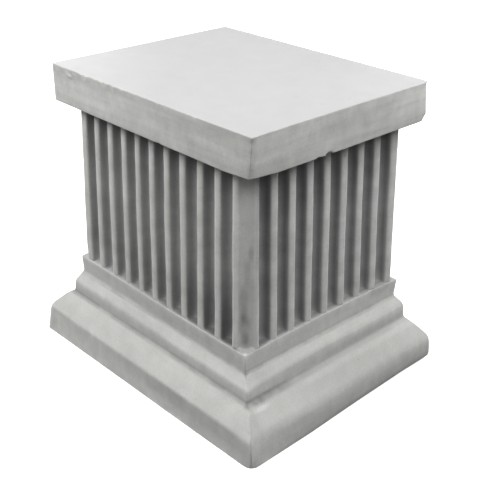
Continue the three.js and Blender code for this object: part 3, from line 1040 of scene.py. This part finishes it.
# Single marks, as (place, reach, share). A share above 0 is paler than the rest, and one below it darker.
MARKS = (
    # Two smudges on the top, and a wide stain on the slab's side toward +X.
    ((121.6, -16.4, 400.0), (9, 6, 4), -0.04),
    ((158.2, -13.7, 400.0), (8, 5, 4), -0.04),
    ((185.0, 15.0, 377.0), (8, 90, 34), -0.11),
    # The pale burr with dark lines under it and beside it.
    ((-148.5, -150.0, 392.0), (9, 3, 2.4), 0.22),
    ((-146.5, -149.0, 388.4), (9, 3, 2.2), -0.16),
    ((-139.0, -149.0, 392.6), (5, 3, 2.0), -0.1),
    # Pale rubs on the slope, and painted light on the plinth's front corner.
    ((193.5, -134.0, 59.0), (6, 16, 4), 0.2),
    ((187.0, 128.0, 64.0), (8, 22, 5), 0.07),
    ((210.0, -168.0, 30.0), (24, 24, 36), 0.1),
    # Dirt on the band and the step beside the front corner, and on the far end of the ledge's rim.
    ((171.0, -126.0, 110.0), (8, 36, 16), -0.06),
    ((176.0, -126.0, 91.0), (11, 34, 10), -0.1),
    ((171.0, 104.0, 121.0), (9, 36, 12), -0.2),
    # Painted light on the head of the front post under the slab, and the ledge at its foot.
    ((159.0, -129.0, 345.0), (13, 13, 14), 0.2),
    ((153.0, -139.0, 125.0), (8, 4, 4), -0.28),
)
for mark_place, mark_reach, strength in MARKS:
    tone = lightened(tone, blot(mark_place, mark_reach), by=strength)

# Rubbed edges below the slab are paler, most on the posts, and a painted highlight runs along the plinth's
# shoulder but for its +X side.
below_ledge = 1 - ramp(spot_z, 118, 122)
rub_and_highlight_share = 0.06 + upright * below_ledge * 0.05 + on_post * on_shaft * 0.1
rub_and_highlight_share = rub_and_highlight_share + band(32, 35, 40, 44) * (1 - toward_x) * 0.06
tone = lightened(tone, painted("edge") * (1 - on_slab), by=rub_and_highlight_share)
tone = darkened(tone, painted("grime"), by=0.6)

# Pores: a few small round holes left by air, fewest on the top.
PORE_SCALE = 90.0
cells = add_node(skin, "ShaderNodeTexVoronoi", {"Vector": spot, "Scale": PORE_SCALE})
hole = 1 - ramp(Field(skin, cells.outputs["Distance"]), 0.03, 0.085)
chosen = add_node(skin, "ShaderNodeSeparateColor", {0: cells.outputs["Color"]})
pore = hole * Field(skin, chosen.outputs[0]).calc("GREATER_THAN", 0.82 + on_top * 0.1)
tone = darkened(tone, pore, by=0.45)

# The cement is faintly yellow, but for the top, which the mould's floor left greyer, and the dirty flutes.
ALBEDO = 0.55
YELLOW = 0.03
GLOSS = 0.25
BUMP_DEPTH = 0.6
BUMP_STRENGTH = 0.8
blue_share = 1 - YELLOW * (1 - on_top) * (1 - in_flute * 0.8)
channels = (tone * ALBEDO, tone * ALBEDO, tone * ALBEDO * blue_share)
colour = add_node(skin, "ShaderNodeCombineColor", dict(enumerate(channels)))
feed(skin, colour.outputs[0], shader.inputs["Base Color"])
feed(skin, 0.86 + grain * 0.12, shader.inputs["Roughness"])
shader.inputs["Specular IOR Level"].default_value = GLOSS
relief = grain * 0.35 + (spots * 0.5 + mottle * 0.3) * (1 - on_top * 0.6) - pore * 1.6
bump_inputs = {"Height": relief, "Distance": BUMP_DEPTH * MM, "Strength": BUMP_STRENGTH}
bump = add_node(skin, "ShaderNodeBump", bump_inputs)
feed(skin, bump.outputs[0], shader.inputs["Normal"])

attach(pedestal, "root")
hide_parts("pedestal")

# A plain pale floor of matt paper to stand on, far wider than the picture. It takes the soft shadow,
# glows so that it stays pale, and sends hardly any light back up.
FLOOR_REACH = 12.0
PAPER = (0.9, 0.9, 0.9, 1)
PAPER_GLOW = 0.75
WHITE = (1, 1, 1, 1)
floor_mesh = bpy.data.meshes.new("floor")
floor_corners = [(-FLOOR_REACH, -FLOOR_REACH, 0), (FLOOR_REACH, -FLOOR_REACH, 0)]
floor_corners += [(FLOOR_REACH, FLOOR_REACH, 0), (-FLOOR_REACH, FLOOR_REACH, 0)]
floor_mesh.from_pydata(floor_corners, [], [(0, 1, 2, 3)])
floor = bpy.data.objects.new("floor", floor_mesh)
bpy.context.collection.objects.link(floor)
paper = bpy.data.materials.new("floor_paper")
paper.use_nodes = True
paper_inputs = paper.node_tree.nodes["Principled BSDF"].inputs
paper_inputs["Base Color"].default_value = PAPER
paper_inputs["Roughness"].default_value = 1.0
paper_inputs["Emission Color"].default_value = WHITE
paper_inputs["Emission Strength"].default_value = PAPER_GLOW
floor_mesh.materials.append(paper)
floor.visible_diffuse = False

# Soft studio light: a pale dome that is dark below the horizon, two wide lamps high on the left and on the
# right, a weak one low in front of the shown corner, one behind for the hidden faces, and two small ones
# close to the slab's corners at the two ends of the photograph.
DOME = 0.25
BELOW_HORIZON = 0.04
HORIZON_SHARPNESS = 6.0
world = bpy.data.worlds.new("studio")
bpy.context.scene.world = world
world.use_nodes = True
sky = world.node_tree
sky_way = add_node(sky, "ShaderNodeTexCoord").outputs["Generated"]
sky_rise = Field(sky, add_node(sky, "ShaderNodeSeparateXYZ", {0: sky_way}).outputs[2])
seen = Field(sky, add_node(sky, "ShaderNodeLightPath").outputs["Is Camera Ray"])
above_horizon = (sky_rise * HORIZON_SHARPNESS + 0.5).clip(0.0, 1.0)
shine = (above_horizon * (DOME - BELOW_HORIZON) + BELOW_HORIZON).mix(1.0, seen)
feed(sky, shine, sky.nodes["Background"].inputs["Strength"])
sky.nodes["Background"].inputs["Color"].default_value = WHITE


def from_angles(azimuth, elevation):
    """The way toward a place at these angles. Azimuth 0 lies toward -Y and a quarter turn toward +X."""
    level_reach = math.cos(elevation)
    return Vector((math.sin(azimuth) * level_reach, -math.cos(azimuth) * level_reach, math.sin(elevation)))


def lamp(name, azimuth, elevation, distance, target, width, watts):
    """A square lamp aimed at a target, with its angles in degrees."""
    toward_lamp = from_angles(math.radians(azimuth), math.radians(elevation))
    data = bpy.data.lights.new(name, "AREA")
    data.shape = "SQUARE"
    data.size = width
    data.energy = watts
    made = bpy.data.objects.new(name, data)
    aim = toward_lamp.to_track_quat("Z", "Y").to_matrix().to_4x4()
    made.matrix_world = Matrix.Translation(Vector(target) + toward_lamp * distance) @ aim
    made.visible_camera = False
    bpy.context.collection.objects.link(made)


# Each lamp's name, azimuth, elevation, distance, target, width and watts.
LAMPS = (
    ("left_lamp", -27, 46, 2.2, (0, 0, 0.2), 0.9, 35.6),
    ("right_lamp", 98, 46, 2.2, (0, 0, 0.2), 0.9, 25.6),
    ("front_lamp", 55, 22, 2.2, (0, 0, 0.15), 1.0, 2.5),
    ("back_lamp", 225, 15, 2.2, (0, 0, 0.2), 1.2, 30),
    ("left_end_lamp", -50, 35, 0.4, (-0.18, -0.15, 0.36), 0.25, 0.4),
    ("right_end_lamp", 140, 35, 0.4, (0.18, 0.15, 0.36), 0.25, 0.6),
)
for lamp_values in LAMPS:
    lamp(*lamp_values)
bpy.context.scene.view_settings.view_transform = "Standard"

# The camera stands where the photograph was taken from: above the level of the slab, facing the corner
# between the two shown faces, with a long lens.
AZIMUTH = math.radians(47.18)
ELEVATION = math.radians(26.685)
ROLL = math.radians(0.377)
LENS = 68.0795
SENSOR_WIDTH = 36
EYE = Vector((0.821693, -0.750614, 0.722624))
FAR_CLIP = 100
behind = from_angles(AZIMUTH, ELEVATION)
level_right = Vector((math.cos(AZIMUTH), math.sin(AZIMUTH), 0))
level_up = behind.cross(level_right)
camera_right = math.cos(ROLL) * level_right + math.sin(ROLL) * level_up
camera_up = math.cos(ROLL) * level_up - math.sin(ROLL) * level_right
camera_turn = Matrix((camera_right, camera_up, behind)).transposed().to_4x4()
camera_data = bpy.data.cameras.new("camera")
camera_data.lens = LENS
camera_data.sensor_width = SENSOR_WIDTH
camera_data.clip_end = FAR_CLIP
camera = bpy.data.objects.new("camera", camera_data)
camera.matrix_world = Matrix.Translation(EYE) @ camera_turn
bpy.context.collection.objects.link(camera)
bpy.context.scene.camera = camera
